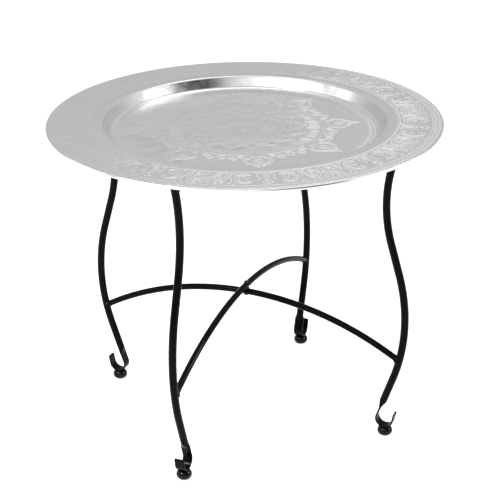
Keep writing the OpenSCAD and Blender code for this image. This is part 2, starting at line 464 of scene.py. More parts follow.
@dataclass
class Draft:
    """Corners and faces of one piece while it is being made."""

    corners: list[Vector] = field(default_factory=list)
    faces: list[tuple[int, ...]] = field(default_factory=list)
    finishes: list[int] = field(default_factory=list)

    def add(
        self, corners: Sequence[Vector], faces: Sequence[tuple[int, ...]], finish: int | list[int] = 0,
    ) -> None:
        """Adds a patch of faces.

        Args:
            corners: the patch's own corners.
            faces: its faces, counted in those corners.
            finish: which of the piece's finishes they take, for all of them or for each.
        """
        start = len(self.corners)
        self.corners.extend(corners)
        self.faces.extend(tuple(start + i for i in face) for face in faces)
        self.finishes.extend([finish] * len(faces) if isinstance(finish, int) else finish)

    def skin(self, rings: Sequence[Sequence[Vector]], capped: bool = True, finish: int = 0) -> None:
        """Joins rings of equal length into a tube.

        Args:
            rings: the tube's rings, in order along it.
            capped: whether its two ends are closed.
            finish: which of the piece's finishes it takes.
        """
        count = len(rings[0])
        last = (len(rings) - 1) * count
        faces: list[tuple[int, ...]] = []
        for base in range(0, last, count):
            for i in range(count):
                beside = (i + 1) % count
                faces.append((base + i, base + beside, base + count + beside, base + count + i))
        if capped:
            faces.append(tuple(range(count - 1, -1, -1)))
            faces.append(tuple(range(last, last + count)))
        self.add([corner for ring in rings for corner in ring], faces, finish)

    def lathe(
        self,
        profile: Sequence[Point],
        sides: int,
        place: Matrix,
        wobble: Callable[[float, int], float] | None = None,
    ) -> None:
        """Turns a profile round the Z axis of a placement.

        Args:
            profile: radius and height of each point.
            sides: how many corners go round.
            place: where the turned shape goes.
            wobble: what to add to the radius, from the angle and the profile's point number.
        """
        rings = []
        for number, (radius, height) in enumerate(profile):
            ring = []
            for i in range(sides):
                angle = math.tau * i / sides
                reach = radius + (wobble(angle, number) if wobble and radius > 0 else 0)
                ring.append(place @ Vector((reach * math.cos(angle), reach * math.sin(angle), height)))
            rings.append(ring)
        self.skin(rings)

    def build(self, name: str, finishes: Sequence[Finish], crease: float = 40) -> bpy.types.Object:
        """Makes the piece's object.

        Args:
            name: the piece's name.
            finishes: its finishes, in the order that its faces count them.
            crease: the angle in degrees above which an edge looks sharp.

        Returns:
            The object, linked to the scene.
        """
        mesh = bpy.data.meshes.new(name)
        mesh.from_pydata(self.corners, [], self.faces)
        mesh.polygons.foreach_set("material_index", self.finishes)
        draft = bmesh.new()
        draft.from_mesh(mesh)
        bmesh.ops.remove_doubles(draft, verts=draft.verts, dist=1e-6)
        bmesh.ops.dissolve_degenerate(draft, edges=draft.edges, dist=1e-7)
        bmesh.ops.recalc_face_normals(draft, faces=draft.faces)
        draft.to_mesh(mesh)
        draft.free()
        mesh.shade_smooth()
        mesh.set_sharp_from_angle(angle=math.radians(crease))
        for finish in finishes:
            mesh.materials.append(finish.material())
        piece = bpy.data.objects.new(name, mesh)
        bpy.context.scene.collection.objects.link(piece)
        return piece


def fit_piece(piece: bpy.types.Object, body: str, finish: Finish, *stands_for: str) -> None:
    """Puts a piece on its body, in place of its frame nodes, and reports it.

    Args:
        piece: the finished object.
        body: the body that it moves with.
        finish: its finish, whose material name is logged.
        stands_for: the frame nodes that it replaces.
    """
    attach(piece, body)
    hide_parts(*stands_for)
    LOG.info("%s on %s: %d faces, %s", piece.name, body, len(piece.data.polygons), finish.value[1].name)


def size_of(node: str) -> Vector:
    """Returns a frame node's width, depth and height."""
    low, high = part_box(node)
    return high - low


def middle_of(node: str) -> Vector:
    """Returns the middle of a frame node."""
    low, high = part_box(node)
    return (low + high) / 2


# The stand


class Side(Enum):
    """Where a leg stands: its angle round the table, and the frame that it belongs to."""

    RIGHT = (0, "lower_frame")
    BACK = (90, "upper_frame")
    LEFT = (180, "lower_frame")
    FRONT = (270, "upper_frame")

    @property
    def label(self) -> str:
        """The side's name in the frame's nodes."""
        return self.name.lower()

    @property
    def place(self) -> Matrix:
        """The turn that takes the right-hand leg to this side."""
        return turned(self.value[0])

    @property
    def body(self) -> str:
        """The body that this side's leg moves with."""
        return self.value[1]


@dataclass(frozen=True)
class LegLine:
    """The line that each leg follows in its own upright plane, as distance out and height."""

    tube_d: float = 12 * MM
    bulge_r: float = 265.5 * MM
    bulge_z: float = 198 * MM
    bulge_bend: float = 300 * MM
    waist_r: float = 229.5 * MM
    waist_z: float = 398 * MM
    waist_bend: float = 240 * MM
    splay: float = 18.5
    rest_gap: float = 0.2 * MM
    sheet_t: float = 1 * MM

    @property
    def bulge_c(self) -> Vector:
        """The centre of the bulge's bend."""
        return Vector((self.bulge_r - self.bulge_bend, self.bulge_z))

    @property
    def waist_c(self) -> Vector:
        """The centre of the waist's bend."""
        return Vector((self.waist_r + self.waist_bend, self.waist_z))

    @property
    def lean(self) -> float:
        """The angle in degrees at which the two bends meet."""
        bend_sum = self.bulge_bend + self.waist_bend
        across = bend_sum - (self.bulge_r - self.waist_r)
        up = self.waist_z - self.bulge_z
        return math.degrees(math.atan2(up, across) - math.acos(bend_sum / math.hypot(across, up)))

    @property
    def flare(self) -> float:
        """The angle in degrees of the leg's top end from upright."""
        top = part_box("tray")[1].z - self.sheet_t - self.rest_gap - self.tube_d / 2
        return math.degrees(math.asin((top - self.waist_z) / self.waist_bend))

    @property
    def top(self) -> Vector:
        """The middle of the leg's top end."""
        angle = math.radians(180 - self.flare)
        return self.waist_c + self.waist_bend * Vector((math.cos(angle), math.sin(angle)))

    def out_at(self, height: float) -> float:
        """Returns how far out the line runs at a height near its waist."""
        return self.waist_c.x - math.sqrt(self.waist_bend ** 2 - (height - self.waist_z) ** 2)


def on_bend(centre: Vector, bend: float, degrees: float, sense: int) -> tuple[Vector, Vector]:
    """Finds a point of a bend in the upright plane.

    Args:
        centre: the bend's centre.
        bend: its radius.
        degrees: the point's angle.
        sense: 1 when the line runs towards growing angles, -1 when it runs back.

    Returns:
        The point and the way that the line runs there.
    """
    angle = math.radians(degrees)
    out = Vector((math.cos(angle), math.sin(angle)))
    return centre + bend * out, sense * Vector((-out.y, out.x))


@dataclass(frozen=True)
class CurledLeg:
    """A leg of one tube whose lower end is squashed flat and curled under and up to a free tip."""

    side: Side
    line: LegLine = LegLine()
    sides: int = 36
    strap_t: float = 3.2 * MM
    curl_bend: float = 13.5 * MM
    neck_z: float = 61 * MM
    neck_l: float = 15 * MM
    tip_z: float = 41 * MM
    tip_lean: float = 10.0
    tip_round: float = 2.6 * MM
    waist_steps: int = 40
    bulge_steps: int = 44
    neck_steps: int = 16
    curl_steps: int = 36
    tip_steps: int = 10
    strap_square: float = 0.45
    end_bevel: float = 0.5 * MM
    # A squashed tube stays a little thicker along its two edges
    hollow: float = 0.22
    edge_gain: float = 1.6
    # The neck is at its full width a little before it is at its least thickness
    width_lead: float = 1.15
    # The tip's corners are rounded through nearly a quarter turn, and it thins as it ends
    tip_turn: float = 86.0
    tip_thinning: float = 0.3
    tip_thinning_power: int = 6

    @property
    def strap_w(self) -> float:
        """The width of the flattened end."""
        return size_of("right_leg").y

    @property
    def curl_z(self) -> float:
        """The height of the curl's centre."""
        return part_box("right_bun_foot")[1].z + self.strap_t / 2 + self.curl_bend

    def _ring(
        self, middle: Vector, along: Vector, half_t: float, half_w: float, flat: float,
    ) -> list[Vector]:
        """Makes one ring of the leg.

        Args:
            middle: its middle in the upright plane.
            along: the way that the leg runs there.
            half_t: half its thickness.
            half_w: half its width.
            flat: 0 where the tube is round, up to 1 where it is a flat strap.

        Returns:
            The ring's corners in the table's frame.
        """
        square = mix(1, self.strap_square, flat)
        ring = []
        for i in range(self.sides):
            angle = math.tau * i / self.sides
            c, s = math.cos(angle), math.sin(angle)
            thin = 1 - self.hollow * flat * (1 - min(1.0, s * s * self.edge_gain))
            across = half_t * thin * math.copysign(abs(c) ** square, c)
            wide = half_w * math.copysign(abs(s) ** square, s)
            ring.append(Vector((middle.x - across * along.y, wide, middle.y + across * along.x)))
        return ring

    def _tube_rings(self) -> list[list[Vector]]:
        """Makes the rings from the leg's top end down to where it starts to flatten."""
        line, half = self.line, self.line.tube_d / 2
        spots = []
        for i in range(self.waist_steps + 1):
            angle = mix(180 - line.flare, 180 + line.lean, i / self.waist_steps)
            spots.append(on_bend(line.waist_c, line.waist_bend, angle, 1))
        for i in range(1, self.bulge_steps + 1):
            angle = mix(line.lean, -line.splay, i / self.bulge_steps)
            spots.append(on_bend(line.bulge_c, line.bulge_bend, angle, -1))
        rings = [self._ring(*spots[0], half - self.end_bevel, half - self.end_bevel, 0)]
        rings += [self._ring(middle, along, half, half, 0) for middle, along in spots]
        return rings

    def _strap_rings(self) -> list[list[Vector]]:
        """Makes the rings of the neck, the curl and the tip."""
        line = self.line
        bottom, down = on_bend(line.bulge_c, line.bulge_bend, -line.splay, -1)
        round_l = (bottom.y - self.neck_z) / math.cos(math.radians(line.splay))
        rings = []
        for i in range(self.neck_steps + 1):
            part = ease(i / self.neck_steps)
            half_t = mix(line.tube_d, self.strap_t, part) / 2
            half_w = mix(line.tube_d, self.strap_w, ease(min(1.0, part * self.width_lead))) / 2
            middle = bottom + (round_l + self.neck_l * i / self.neck_steps) * down
            rings.append(self._ring(middle, down, half_t, half_w, part))
        sine, cosine = math.sin(math.radians(line.splay)), math.cos(math.radians(line.splay))
        drop = (bottom.y - self.curl_bend * sine - self.curl_z) / cosine
        centre = bottom + drop * down + self.curl_bend * Vector((cosine, -sine))
        half_t, half_w = self.strap_t / 2, self.strap_w / 2
        for i in range(self.curl_steps + 1):
            angle = mix(180 - line.splay, 360 - self.tip_lean, i / self.curl_steps)
            rings.append(self._ring(*on_bend(centre, self.curl_bend, angle, 1), half_t, half_w, 1))
        start, up = on_bend(centre, self.curl_bend, 360 - self.tip_lean, 1)
        lean = math.radians(self.tip_lean)
        tip_l = (self.tip_z - self.curl_z + self.curl_bend * math.sin(lean)) / math.cos(lean)
        for i in range(self.tip_steps + 1):
            part = i / self.tip_steps
            angle = math.radians(self.tip_turn * part)
            middle = start + (tip_l - self.tip_round * (1 - math.sin(angle))) * up
            width = half_w - self.tip_round * (1 - math.cos(angle))
            thin = 1 - self.tip_thinning * part ** self.tip_thinning_power
            rings.append(self._ring(middle, up, half_t * thin, width, 1))
        return rings

    def build(self) -> bpy.types.Object:
        """Makes the leg and puts it on its frame."""
        draft = Draft()
        rings = self._tube_rings() + self._strap_rings()
        draft.skin([[self.side.place @ corner for corner in ring] for ring in rings])
        piece = draft.build(f"{self.side.label}_curled_leg", [Finish.ENAMEL], crease=50)
        fit_piece(piece, self.side.body, Finish.ENAMEL, f"{self.side.label}_leg")
        return piece


@dataclass(frozen=True)
class BunFoot:
    """A turned bun foot under a leg's curl, and the bead that holds it."""

    side: Side
    flat_r: float = 5.5 * MM
    seat_groove: float = 0.35 * MM
    seat_bevel: float = 0.3 * MM
    sides: int = 64
    belly_steps: int = 24
    bead_sides: int = 44
    # The bead's outline from its foot up, as shares of its reach and height
    bead_outline: tuple[Point, ...] = ((0, 0), (1, 0), (1, 0.2), (0.9, 0.6), (0.82, 1), (0, 1))
    bead_waves: int = 11
    bead_wave: float = 0.25 * MM

    def build(self) -> None:
        """Makes the foot and its bead and puts them on their frame."""
        label = self.side.label
        low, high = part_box(f"{label}_bun_foot")
        middle = middle_of(f"{label}_bun_foot")
        place = Matrix.Translation((middle.x, middle.y, low.z))
        half_w, height = (high.x - low.x) / 2, high.z - low.z
        profile = [(0.0, 0.0)]
        for i in range(self.belly_steps + 1):
            angle = math.radians(mix(-90, 90, i / self.belly_steps))
            out = self.flat_r + (half_w - self.flat_r) * math.cos(angle)
            profile.append((out, height / 2 * (1 + math.sin(angle))))
        seat = height - self.seat_groove
        profile += [(self.flat_r - self.seat_bevel, seat), (0.0, seat)]
        draft = Draft()
        draft.lathe(profile, self.sides, place)
        piece = draft.build(f"{label}_turned_foot", [Finish.FOOT], crease=50)
        fit_piece(piece, self.side.body, Finish.FOOT, f"{label}_bun_foot")
        self._build_bead(label)

    def _build_bead(self, label: str) -> None:
        """Makes the uneven bead between the foot and the strap.

        Args:
            label: the side's name in the frame's nodes.
        """
        low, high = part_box(f"{label}_foot_weld")
        middle = middle_of(f"{label}_foot_weld")
        reach, height = (high.x - low.x) / 2, high.z - low.z
        shift = random.uniform(0, math.tau)

        def uneven(angle: float, number: int) -> float:
            """Returns how far the bead runs in at this angle."""
            return -self.bead_wave * (0.5 + 0.5 * math.sin(self.bead_waves * angle + shift + 0.4 * number))

        profile = [(reach * out, height * up) for out, up in self.bead_outline]
        draft = Draft()
        draft.lathe(profile, self.bead_sides, Matrix.Translation((middle.x, middle.y, low.z)), uneven)
        piece = draft.build(f"{label}_foot_bead", [Finish.ENAMEL], crease=60)
        fit_piece(piece, self.side.body, Finish.ENAMEL, f"{label}_foot_weld")


@dataclass(frozen=True)
class LegPlug:
    """A ball-ended plug in a leg's top end, on which the tray rests."""

    side: Side
    line: LegLine = LegLine()
    seam: float = 0.3 * MM
    stem_l: float = 6 * MM
    stem_share: float = 0.7
    ledge: float = 0.1 * MM
    sides: int = 40
    ball_steps: int = 14
    ball_start: float = 4.0

    def build(self) -> None:
        """Makes the plug and puts it on its frame."""
        label, radius = self.side.label, self.line.tube_d / 2
        top = self.line.top
        place = self.side.place @ Matrix.Translation((top.x, 0, top.y)) @ turned(self.line.flare, "Y")
        stem_r = radius * self.stem_share
        profile = [(0.0, -self.stem_l), (stem_r, -self.stem_l), (stem_r, self.ledge),
                   (radius - self.seam, self.ledge)]
        for i in range(1, self.ball_steps + 1):
            angle = math.radians(mix(self.ball_start, 90, i / self.ball_steps))
            profile.append((radius * math.cos(angle), radius * math.sin(angle)))
        draft = Draft()
        draft.lathe(profile, self.sides, place)
        piece = draft.build(f"{label}_ball_plug", [Finish.PLASTIC], crease=45)
        fit_piece(piece, self.side.body, Finish.PLASTIC, f"{label}_leg_plug")


class Tier(Enum):
    """Which of the two crossed frames a cross tube belongs to, with its sides and its turn."""

    LOWER = ("lower_frame", 0, 493 * MM)
    UPPER = ("upper_frame", 90, 550 * MM)

    @property
    def label(self) -> str:
        """The tier's name in the frame's nodes."""
        return self.name.lower()

    @property
    def body(self) -> str:
        """The body that this tier's tubes move with."""
        return self.value[0]

    @property
    def place(self) -> Matrix:
        """The turn of this tier's plane."""
        return turned(self.value[1])

    @property
    def arch_bend(self) -> float:
        """The bend radius of this tier's arched stretcher."""
        return self.value[2]


@dataclass(frozen=True)
class CrossTubes:
    """One frame's arched stretcher and straight top bar, with the weld beads at their ends."""

    tier: Tier
    line: LegLine = LegLine()
    bar_d: float = 10 * MM
    sides: int = 28
    arch_steps: int = 72
    bar_steps: int = 8
    weld_l: float = 3.5 * MM
    weld_r: float = 2.4 * MM
    # How far the bead reaches inside the leg at its root and at its toe
    root_r: float = 1.5 * MM
    root_l: float = 4 * MM
    toe_l: float = 2.5 * MM
    # The last small step from the bead down to the tube
    rim_r: float = 0.4 * MM
    rim_l: float = 0.2 * MM
    bead_lift: float = 0.12 * MM
    bead_curve: float = 1.7
    bead_steps: int = 6
    bead_sides: int = 52
    held_ripple: float = 0.3
    ripples: int = 13
    ripple: float = 0.22 * MM

    def build(self) -> None:
        """Makes the two tubes and their beads and puts them on their frame."""
        label = self.tier.label
        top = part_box(f"{label}_stretcher")[1].z - self.bar_d / 2
        centre = Vector((0, top - self.tier.arch_bend))
        end = self._arch_end(centre)
        reach = math.degrees(math.asin(end.x / self.tier.arch_bend))
        spots = [
            on_bend(centre, self.tier.arch_bend, mix(90 + reach, 90 - reach, i / self.arch_steps), -1)
            for i in range(self.arch_steps + 1)
        ]
        self._build_tube(f"{label}_arched_tube", f"{label}_stretcher", spots)
        self._build_beads(f"{label}_stretcher", end, reach)
        height = middle_of(f"{label}_top_bar").z
        out = self.line.out_at(height)
        flat = [
            (Vector((mix(-out, out, i / self.bar_steps), height)), Vector((1, 0)))
            for i in range(self.bar_steps + 1)
        ]
        self._build_tube(f"{label}_top_tube", f"{label}_top_bar", flat)
        self._build_beads(f"{label}_top_bar", Vector((out, height)), 0)

    def _arch_end(self, centre: Vector) -> Vector:
        """Finds where the stretcher's arch meets the right-hand leg's line.

        Args:
            centre: the arch's centre.

        Returns:
            The meeting point in the upright plane.
        """
        other, bend = self.line.bulge_c, self.line.bulge_bend
        gap = (other - centre).length
        along = (self.tier.arch_bend ** 2 - bend ** 2 + gap ** 2) / (2 * gap)
        across = math.sqrt(self.tier.arch_bend ** 2 - along ** 2)
        way = (other - centre) / gap
        return centre + along * way + across * Vector((way.y, -way.x))

    def _build_tube(self, name: str, node: str, spots: Sequence[tuple[Vector, Vector]]) -> None:
        """Sweeps a round tube along a line and puts it on its frame.

        Args:
            name: the piece's name.
            node: the frame node that it stands for.
            spots: points and directions along the line.
        """
        rings = []
        for middle, along in spots:
            ring = []
            for i in range(self.sides):
                angle = math.tau * i / self.sides
                up, side = self.bar_d / 2 * math.cos(angle), self.bar_d / 2 * math.sin(angle)
                corner = Vector((middle.x - up * along.y, side, middle.y + up * along.x))
                ring.append(self.tier.place @ corner)
            rings.append(ring)
        draft = Draft()
        draft.skin(rings)
        piece = draft.build(name, [Finish.ENAMEL])
        fit_piece(piece, self.tier.body, Finish.ENAMEL, node)

    def _build_beads(self, node: str, end: Vector, reach: float) -> None:
        """Makes the rippled fillet beads round a tube's two ends.

        Args:
            node: the tube's frame node.
            end: the tube's right-hand end on the leg's line.
            reach: how far in degrees the tube points down there.
        """
        inner, leg_r = self.bar_d / 2, self.line.tube_d / 2
        draft = Draft()
        for turn in (0, 180):
            shift = random.uniform(0, math.tau)

            def ripple(angle: float, number: int) -> float:
                """Returns how far the bead's ripples stand in at this angle."""
                wave = math.sin(self.ripples * angle + shift + 0.5 * number)
                held = number in (0, self.bead_steps + 1)
                return self.ripple * (wave - 1) * (self.held_ripple if held else 1)

            end_l = leg_r + self.weld_l
            profile = [(inner - self.root_r, leg_r - self.root_l)]
            for i in range(self.bead_steps + 1):
                part = i / self.bead_steps
                out = inner + self.weld_r * (1 - part) ** self.bead_curve + self.bead_lift
                profile.append((out, mix(leg_r - self.toe_l, end_l - self.rim_l, part)))
            profile.append((inner - self.rim_r, end_l - self.rim_l / 2))
            place = self.tier.place @ turned(turn) @ Matrix.Translation((end.x, 0, end.y))
            draft.lathe(profile, self.bead_sides, place @ turned(reach - 90, "Y"), ripple)
        piece = draft.build(f"{node}_beads", [Finish.ENAMEL], crease=60)
        fit_piece(piece, self.tier.body, Finish.ENAMEL, f"{node}_welds")


@dataclass(frozen=True)
class Pivot:
    """The rivet and washer on which two crossing tubes turn."""

    node: str
    chamfer: float = 0.25 * MM
    shank_r: float = 2.45 * MM
    head_h: float = 2.2 * MM
    set_head_h: float = 1.2 * MM
    sides: int = 40
    washer_sides: int = 48
    dome_steps: int = 10

    def build(self) -> None:
        """Makes the rivet and the washer and puts them on the lower frame."""
        low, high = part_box(f"{self.node}_rivet")
        washer_low, washer_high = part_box(f"{self.node}_washer")
        head_r = (high.x - low.x) / 2
        seat, crown = low.z + self.set_head_h, high.z - self.head_h
        profile = [(0.0, low.z)]
        steps = self.dome_steps
        profile += [
            self._dome(head_r, self.set_head_h, seat, mix(-90, 0, i / steps)) for i in range(1, steps + 1)
        ]
        profile += [(self.shank_r, seat), (self.shank_r, crown)]
        profile += [self._dome(head_r, self.head_h, crown, mix(0, 90, i / steps)) for i in range(steps)]
        profile.append((0.0, high.z))
        draft = Draft()
        draft.lathe(profile, self.sides, Matrix.Identity(4))
        piece = draft.build(f"{self.node}_domed_rivet", [Finish.RIVET], crease=50)
        fit_piece(piece, "lower_frame", Finish.RIVET, f"{self.node}_rivet")
        outer = (washer_high.x - washer_low.x) / 2
        edge = self.chamfer
        ring = [(self.shank_r, washer_low.z), (outer - edge, washer_low.z), (outer, washer_low.z + edge),
                (outer, washer_high.z - edge), (outer - edge, washer_high.z), (self.shank_r, washer_high.z)]
        washer = Draft()
        washer.lathe(ring, self.washer_sides, Matrix.Identity(4))
        piece = washer.build(f"{self.node}_pressed_washer", [Finish.RIVET], crease=30)
        fit_piece(piece, "lower_frame", Finish.RIVET, f"{self.node}_washer")

    def _dome(self, radius: float, height: float, base: float, degrees: float) -> Point:
        """Returns a point of a domed head's outline."""
        angle = math.radians(degrees)
        return (radius * math.cos(angle), base + height * math.sin(angle))


# Chasing: the lines and punch marks on the tray, drawn flat in millimetres


class Tool(Enum):
    """A chasing tool, with half the width in millimetres of the mark that it leaves."""

    LINER = 0.38
    FINE_LINER = 0.3
    DOT_PUNCH = 0.52
    FINE_PUNCH = 0.4


def polar(radius: float, degrees: float) -> Point:
    """Returns a flat point from its radius and angle."""
    return (radius * math.cos(math.radians(degrees)), radius * math.sin(math.radians(degrees)))


def oval(centre: Point, across: float, along: float, start: float = 0, end: float = 360) -> Path:
    """Returns points of an oval arc, about MARK_STEP apart."""
    length = math.radians(abs(end - start)) * (across + along) / 2
    count = max(6, round(length / MARK_STEP))
    return [
        (centre[0] + across * math.cos(math.radians(mix(start, end, i / count))),
         centre[1] + along * math.sin(math.radians(mix(start, end, i / count))))
        for i in range(count + 1)
    ]


def flowing(knots: Path) -> Path:
    """Draws a smooth curve through knots.

    Args:
        knots: the points that it passes through.

    Returns:
        The curve's points, about MARK_STEP apart.
    """
    first = (2 * knots[0][0] - knots[1][0], 2 * knots[0][1] - knots[1][1])
    last = (2 * knots[-1][0] - knots[-2][0], 2 * knots[-1][1] - knots[-2][1])
    full = [np.array(p) for p in [first, *knots, last]]
    curve: Path = []
    for a, b, c, d in zip(full, full[1:], full[2:], full[3:]):
        count = max(2, round(float(np.linalg.norm(c - b)) / MARK_STEP))
        for i in range(count):
            t = i / count
            spot = 0.5 * (2 * b + (c - a) * t + (2 * a - 5 * b + 4 * c - d) * t ** 2
                          + (3 * b - a - 3 * c + d) * t ** 3)
            curve.append((float(spot[0]), float(spot[1])))
    curve.append(knots[-1])
    return curve


def outline(path: Path, half_widths: tuple[float, float, float]) -> Path:
    """Draws the closed outline of a band that follows a path.

    Args:
        path: the band's middle line.
        half_widths: half its width at the start, in the middle and at the end.

    Returns:
        The outline's points, with rounded ends.
    """
    line = np.array(path)
    ways = np.gradient(line, axis=0)
    ways /= np.linalg.norm(ways, axis=1)[:, None]
    normals = np.stack([-ways[:, 1], ways[:, 0]], axis=1)
    parts = np.linspace(0, 1, len(line))
    widths = np.interp(parts, [0, 0.5, 1], half_widths)[:, None]
    left, right = line + normals * widths, line - normals * widths
    head = line[-1] + ways[-1] * half_widths[2]
    tail = line[0] - ways[0] * half_widths[0]
    loop = [*left, head, *right[::-1], tail, left[0]]
    return [(float(x), float(y)) for x, y in loop]


@dataclass
class Chasing:
    """The marks of one half of a repeating sector, whose axis of symmetry runs along +X."""

    half_angle: float
    place: Callable[[Point], Point]
    # How far rings run past the half sector, as a share of its angle
    overlap: float = 0.07
    # A ring has as many sides as the tray has over this share of the half sector
    ring_share: float = 1.15
    least_sides: int = 8
    strokes: list[tuple[Path, float, bool]] = field(default_factory=list)
    punches: list[tuple[Point, float]] = field(default_factory=list)

    def line(self, path: Path, tool: Tool = Tool.LINER) -> None:
        """Chases a line that tapers at its two ends."""
        self.strokes.append(([self.place(p) for p in path], tool.value, True))

    def loop(self, path: Path, tool: Tool = Tool.LINER) -> None:
        """Chases a line of even width, for a closed path or one that crosses the sector."""
        self.strokes.append(([self.place(p) for p in path], tool.value, False))

    def dot(self, spot: Point, tool: Tool = Tool.DOT_PUNCH) -> None:
        """Punches one dot."""
        self.punches.append((self.place(spot), tool.value))

    def dots(self, path: Path, pitch: float, tool: Tool = Tool.DOT_PUNCH) -> None:
        """Punches dots along a path.

        Args:
            path: the line that they follow.
            pitch: the distance between them.
            tool: the punch.
        """
        line = np.array(path)
        steps = np.linalg.norm(np.diff(line, axis=0), axis=1)
        reach = np.concatenate([[0], np.cumsum(steps)])
        for spot in np.arange(pitch / 2, reach[-1], pitch):
            x, y = (float(np.interp(spot, reach, line[:, i])) for i in (0, 1))
            self.dot((x, y), tool)

    def circle(self, radius: float, tool: Tool = Tool.LINER) -> None:
        """Chases a circle round the whole tray, a little past both edges of the half sector."""
        ends = (-self.overlap * self.half_angle, (1 + self.overlap) * self.half_angle)
        side = 360 / TRAY_SIDES
        count = max(self.least_sides, round(self.half_angle * self.ring_share / side))
        ring = [polar(radius, mix(*ends, i / count)) for i in range(count + 1)]
        self.strokes.append((ring, tool.value, False))

    def ticks(self, inner: float, outer: float, count: int, tool: Tool = Tool.FINE_LINER) -> None:
        """Chases short lines that point at the tray's centre.

        Args:
            inner: the radius where they start.
            outer: the radius where they end.
            count: how many stand in this half sector.
            tool: the tool.
        """
        for i in range(count):
            angle = self.half_angle * (i + 0.5) / count
            self.strokes.append(([polar(inner, angle), polar(outer, angle)], tool.value, True))


def rim_chasing(half_angle: float, border: float) -> Chasing:
    """Draws the rim's scrolls: facing pairs of C-shaped bands, tall loops, buds and small curls.

    Points are the distance round from the sector's axis and the distance out from the border circle.

    Args:
        half_angle: half the angle in degrees after which the scrolls repeat.
        border: the radius of the border circle.

    Returns:
        The marks of half a sector.
    """
    mean_r = border + 25
    far = math.radians(half_angle) * mean_r
    art = Chasing(half_angle, lambda p: polar(border + p[1], math.degrees(p[0] / mean_r)))
    art.circle(border)
    art.circle(border - 2.6, Tool.FINE_LINER)
    # The bud between two facing bands
    art.line(flowing([(0, 2.5), (2.8, 7), (4.5, 13.5), (3.2, 20), (0.9, 25), (0, 27.5)]))
    art.line(flowing([(0, 7.5), (1.9, 11.5), (1.9, 15), (0, 19.5)]), Tool.FINE_LINER)
    art.loop(oval((0, 31.5), 2.4, 2.4))
    art.line(flowing([(0, 35), (3.8, 33.6), (7, 36.6), (5.4, 40.8), (1.5, 41.6), (0, 45.5)]))
    art.line([(0, 37.2), (0, 42.6)], Tool.FINE_LINER)
    art.loop(oval((8, 5), 2.7, 2.7))
    art.loop(oval((13.4, 3.4), 1.6, 1.6), Tool.FINE_LINER)
    art.line(flowing([(9.8, 8), (12.8, 12.2), (12.2, 18), (9.4, 22.5), (10.2, 27.5), (13.6, 29.6)]))
    # The C-shaped band, its inner line and the curl inside it
    art.loop(outline(oval((29.5, 23), 11.6, 16.4, -132, 132), (1.5, 3.2, 1.7)))
    art.line(oval((29.5, 23), 11.6, 16.4, -80, 85), Tool.FINE_LINER)
    art.line(flowing([(23, 12.5), (26.8, 11.2), (31.2, 13.6), (32.4, 19), (29.8, 23.6), (25.8, 23),
                      (25.2, 18.8), (28, 17.6)]))
    art.line(flowing([(21.5, 32.5), (25.4, 30.6), (29.8, 31.4)]), Tool.FINE_LINER)
    # The long leaf between a band and the next loop
    art.line(flowing([(45.8, 2.5), (49.4, 10.5), (50, 20.5), (46.8, 31), (48.4, 39), (53, 44)]))
    art.line(flowing([(49, 2.6), (52.4, 9.8), (53, 18.5), (51.6, 26)]), Tool.FINE_LINER)
    art.loop(oval((43.2, 5.2), 1.9, 1.9), Tool.FINE_LINER)
    art.loop(oval((44, 43.4), 1.7, 1.7), Tool.FINE_LINER)
    # The tall loop that curls in on itself
    tall = flowing([(57.2, 4), (56, 12), (56.6, 22), (60, 31), (66.6, 34.2), (72.6, 29.8), (74, 21.4),
                    (70.6, 14.4), (65, 14.6), (63.2, 19.8), (66, 23.6)])
    art.loop(outline(tall, (1.3, 2.3, 1.1)))
    art.line(flowing([(61.4, 27.5), (66.4, 30), (70.6, 26.6)]), Tool.FINE_LINER)
    art.loop(oval((65, 5.6), 2.5, 2.5))
    art.loop(oval((71, 3.6), 1.5, 1.5), Tool.FINE_LINER)
    art.line(flowing([(61.6, 8.6), (66.5, 10.6), (71.8, 8.4), (75.4, 10.6)]))
    # The small crest on the far axis
    art.line(flowing([(far, 4.5), (far - 3.4, 8.8), (far - 4.6, 14), (far - 2.4, 17.6), (far, 19)]))
    art.line([(far, 21), (far - 3.6, 26.6), (far, 32.2)])
    art.dot((far, 26.6))
    art.line(flowing([(far, 35.6), (far - 4.2, 36), (far - 6.6, 39.4), (far - 3.6, 42.6),
                      (far - 0.8, 40.6)]))
    art.line(flowing([(72.6, 43.6), (68.6, 44.4), (65.6, 41.6), (67.8, 38.9), (70.4, 40.4)]))
    art.line(flowing([(55.6, 38.4), (59.6, 37.4), (62.2, 40.4), (60, 43.6), (57, 42.4)]))
    # Rings at the rim's outer edge
    art.circle(border + 48.4, Tool.FINE_LINER)
    art.ticks(border + 50, border + 56, 22)
    art.circle(border + 57.8, Tool.FINE_LINER)
    art.circle(border + 60, Tool.FINE_LINER)
    return art


